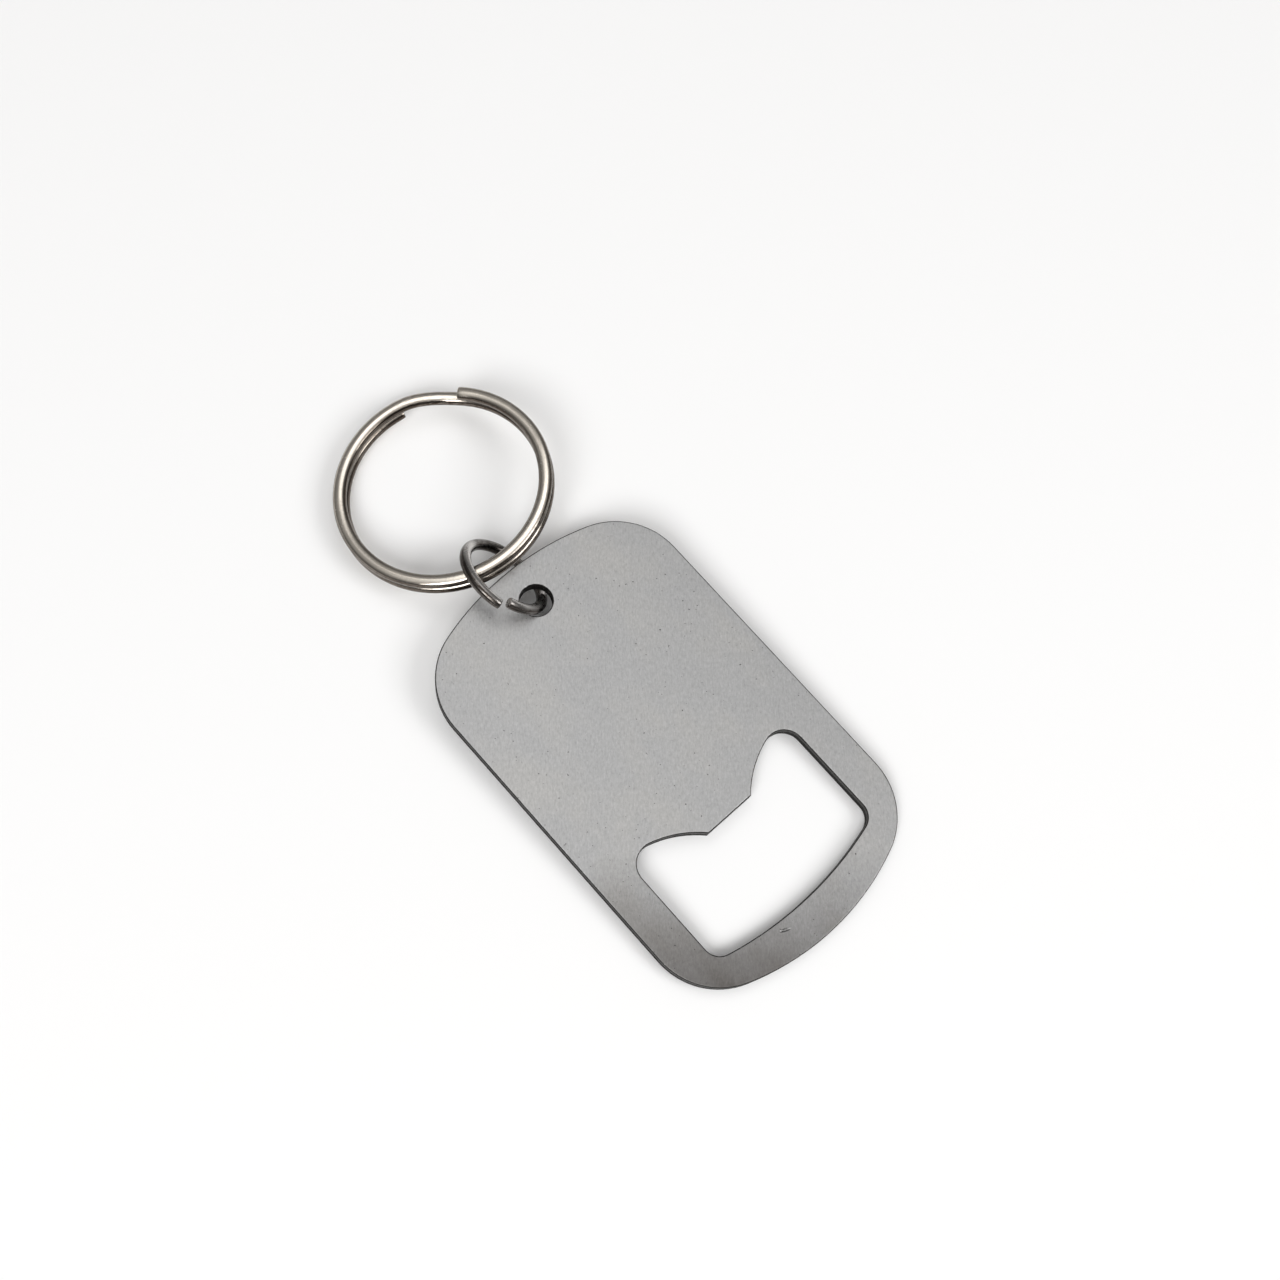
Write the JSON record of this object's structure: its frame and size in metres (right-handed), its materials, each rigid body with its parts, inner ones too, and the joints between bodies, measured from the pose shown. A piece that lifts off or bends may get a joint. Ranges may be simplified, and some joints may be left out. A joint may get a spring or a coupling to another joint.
{
  "type": "keychain bottle opener",
  "caption": "Flat rounded steel plate with a cap mouth and tooth at one end, and a jump ring through its hole that holds a split key ring.",
  "frame": {"origin": "middle of the tooth's flat lip in the cap mouth, halfway through the plate's thickness", "axes": "+Y along the plate from the lip to the end that holds the rings, +Z out of the plate's front face, +X across the plate"},
  "size_m": [0.0308, 0.0737, 0.0086],
  "materials": {
    "plate_steel": "fine tumbled grain, satin, with dark stamped edges",
    "jump_ring_steel": "drawn wire, semi-bright grey",
    "split_ring_nickel": "bright nickel plating, slightly warm"
  },
  "bodies": {
    "plate": {"opener_plate": "plate_steel"},
    "jump_ring": {"jump_ring": "jump_ring_steel"},
    "split_ring": {"split_ring": "split_ring_nickel"}
  },
  "joints": [
    {"name": "jump_ring_turn", "type": "hinge", "parent": "plate", "child": "jump_ring", "pos_m": [-0.00094, 0.03425, 0.0008], "axis": [0.7373, 0, 0.6756], "range_deg": [-15, 20]},
    {"name": "split_ring_swing", "type": "hinge", "parent": "jump_ring", "child": "split_ring", "pos_m": [-0.00184, 0.03561, 0.00178], "axis": [0.9602, -0.2217, 0.1702], "range_deg": [-15, 130]}
  ]
}
